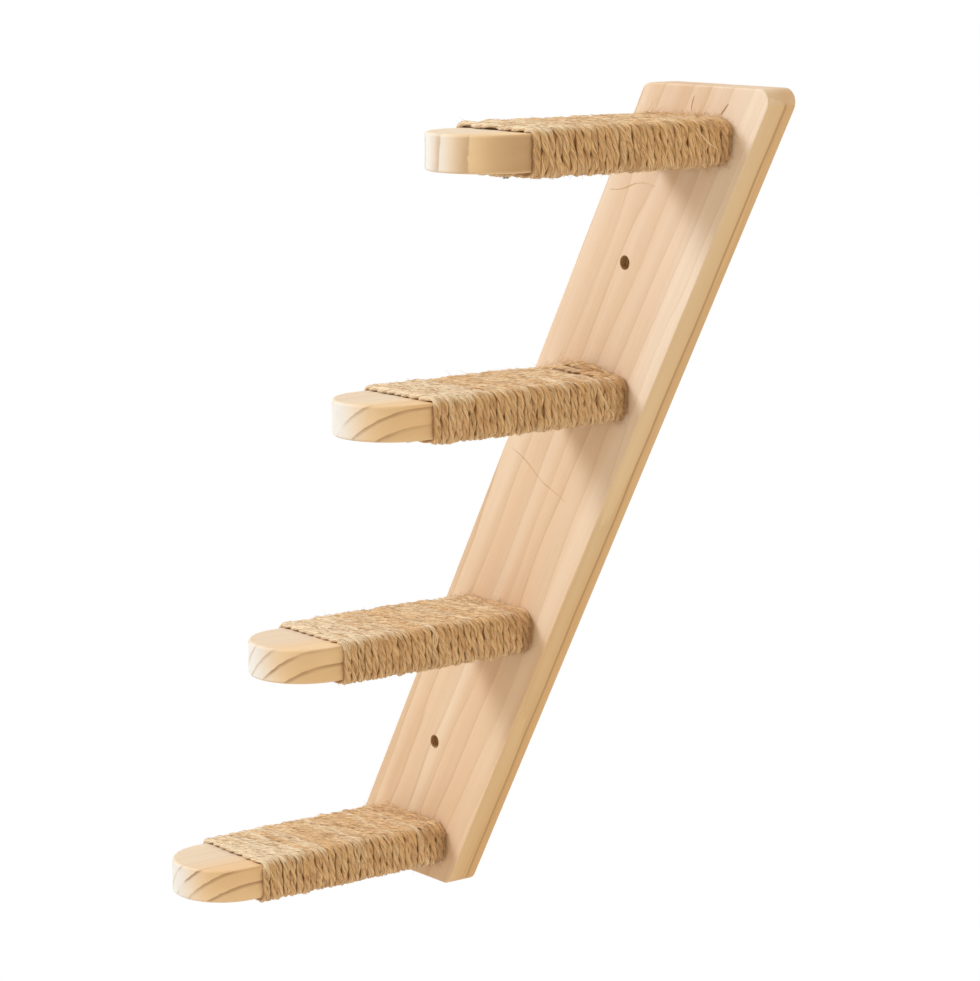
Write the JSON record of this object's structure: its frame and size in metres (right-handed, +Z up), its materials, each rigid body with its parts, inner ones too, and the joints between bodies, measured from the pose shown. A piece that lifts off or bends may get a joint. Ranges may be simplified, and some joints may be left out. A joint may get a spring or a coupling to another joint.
{
  "type": "cat ladder",
  "caption": "Leaning pine board for a wall with rope-wound, round-tipped pine treads standing out from it for a cat to climb.",
  "frame": {"origin": "centre of the board's back face, on the wall", "axes": "+X to the right along the wall, +Y into the wall, +Z up; the treads reach out along -Y"},
  "size_m": [0.456, 0.231, 0.6],
  "materials": {
    "board_pine": "sanded, clear matt oil",
    "tread_pine": "sanded, clear matt oil",
    "jute_rope": "raw twisted jute with loose fibres",
    "screw_steel": "zinc plated",
    "staple_steel": "galvanised wire"
  },
  "bodies": {
    "root": {"back_board": "board_pine", "top_tread": "tread_pine", "top_rope_wrap": "jute_rope", "upper_tread": "tread_pine", "upper_rope_wrap": "jute_rope", "lower_tread": "tread_pine", "lower_rope_wrap": "jute_rope", "bottom_tread": "tread_pine", "bottom_rope_wrap": "jute_rope", "top_tread_screw_left": "screw_steel", "top_tread_screw_right": "screw_steel", "upper_tread_screw_left": "screw_steel", "upper_tread_screw_right": "screw_steel", "lower_tread_screw_left": "screw_steel", "lower_tread_screw_right": "screw_steel", "bottom_tread_screw_left": "screw_steel", "bottom_tread_screw_right": "screw_steel", "top_rope_staple_inner": "staple_steel", "top_rope_staple_outer": "staple_steel", "upper_rope_staple_inner": "staple_steel", "upper_rope_staple_outer": "staple_steel", "lower_rope_staple_inner": "staple_steel", "lower_rope_staple_outer": "staple_steel", "bottom_rope_staple_inner": "staple_steel", "bottom_rope_staple_outer": "staple_steel"}
  },
  "joints": []
}
